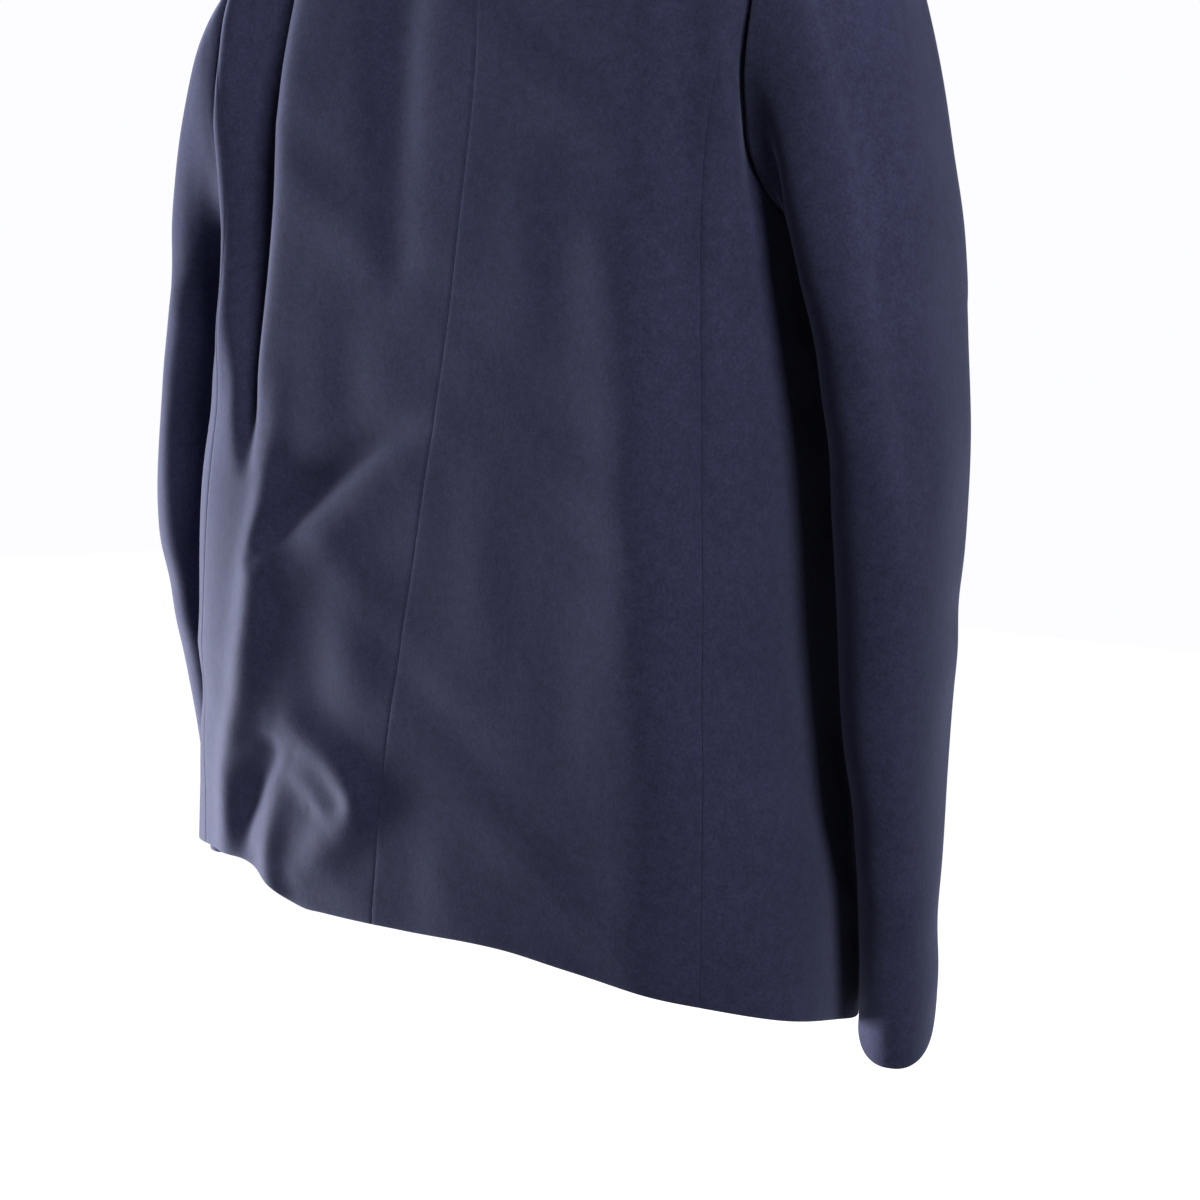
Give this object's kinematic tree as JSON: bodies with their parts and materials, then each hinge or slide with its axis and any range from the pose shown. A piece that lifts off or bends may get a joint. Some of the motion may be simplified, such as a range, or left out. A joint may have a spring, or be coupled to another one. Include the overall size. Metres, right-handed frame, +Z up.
{
  "type": "wool coat",
  "caption": "Hip-length coat of dark felted wool, hollow and filled out as if worn, with turned-down collar, lapped front and long sleeves.",
  "frame": {"origin": "middle of the neck opening, 0.640 m above the level of the hem", "axes": "+Z up, front towards -Y, the wearer's left towards +X"},
  "size_m": [0.5276, 0.237, 0.713],
  "materials": {
    "wool": "matte felted wool with a short nap",
    "horn": "satin dark horn"
  },
  "bodies": {
    "root": {"back_left": "wool", "back_right": "wool", "side_left": "wool", "side_right": "wool", "front_left": "wool", "front_right": "wool", "sleeve_left": "wool", "sleeve_right": "wool", "collar": "wool", "button_1": "horn", "button_2": "horn", "button_3": "horn", "button_4": "horn"}
  },
  "joints": []
}
